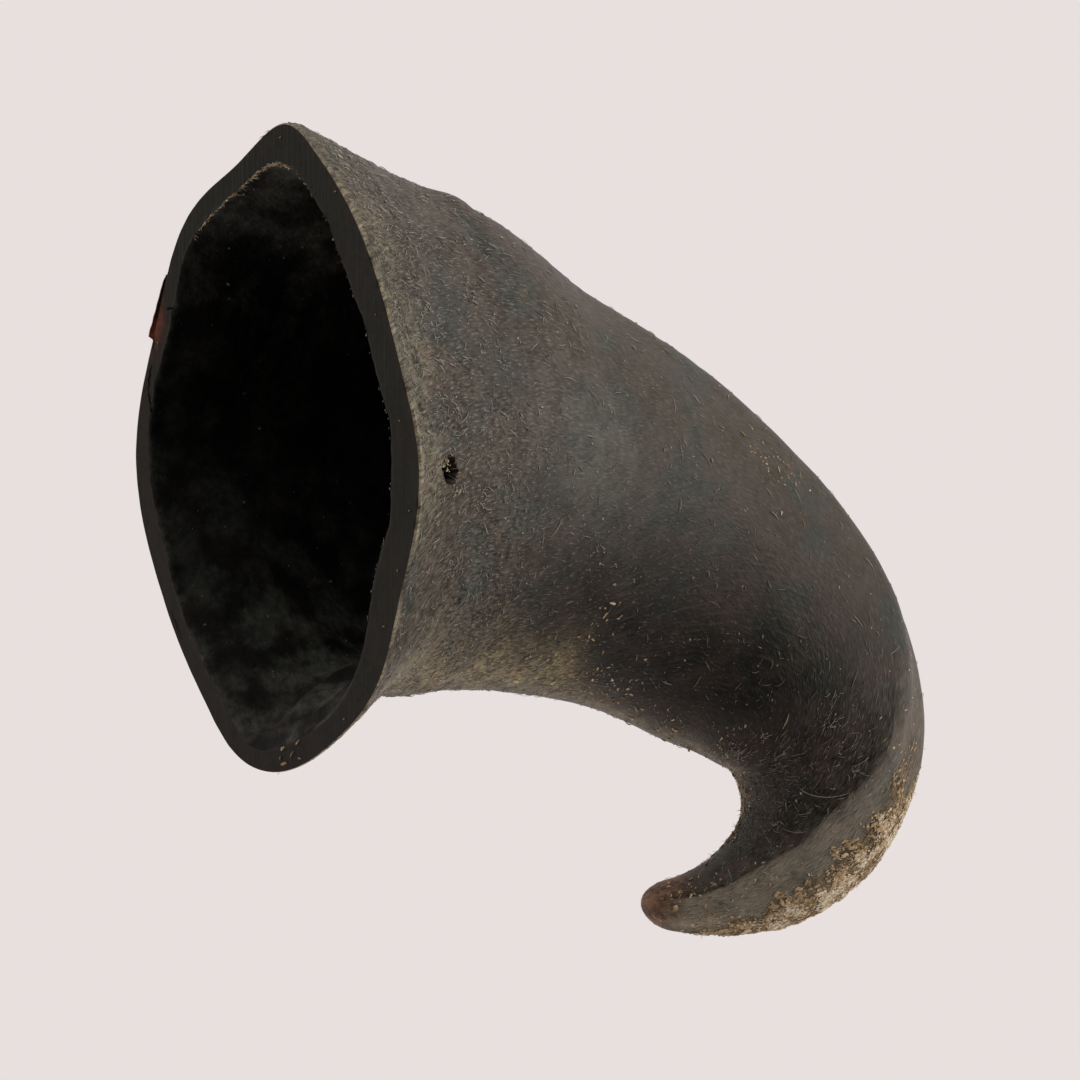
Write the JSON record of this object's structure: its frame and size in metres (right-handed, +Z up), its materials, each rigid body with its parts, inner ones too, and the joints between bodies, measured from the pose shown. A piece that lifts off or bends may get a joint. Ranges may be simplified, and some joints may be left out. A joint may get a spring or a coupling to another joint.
{
  "type": "buffalo horn",
  "caption": "Short hooked buffalo horn sawn off at the base: a dark hollow sheath with a keeled outer edge and a solid curled tip, lying on its flank.",
  "frame": {"origin": "on the floor, under the middle of the bounding box of the horn as it lies on its far flank", "axes": "+Z up; the sawn mouth faces -Y and about 18 degrees up; the keel side is towards -X, and the hook curls towards +X"},
  "size_m": [0.1136, 0.1164, 0.0606],
  "materials": {
    "horn": "raw dark horn, satin and scratched, with pale fibres, tan crust on the outer edge of the hook and a reddish tip"
  },
  "bodies": {
    "root": {"horn_sheath": "horn"}
  },
  "joints": []
}
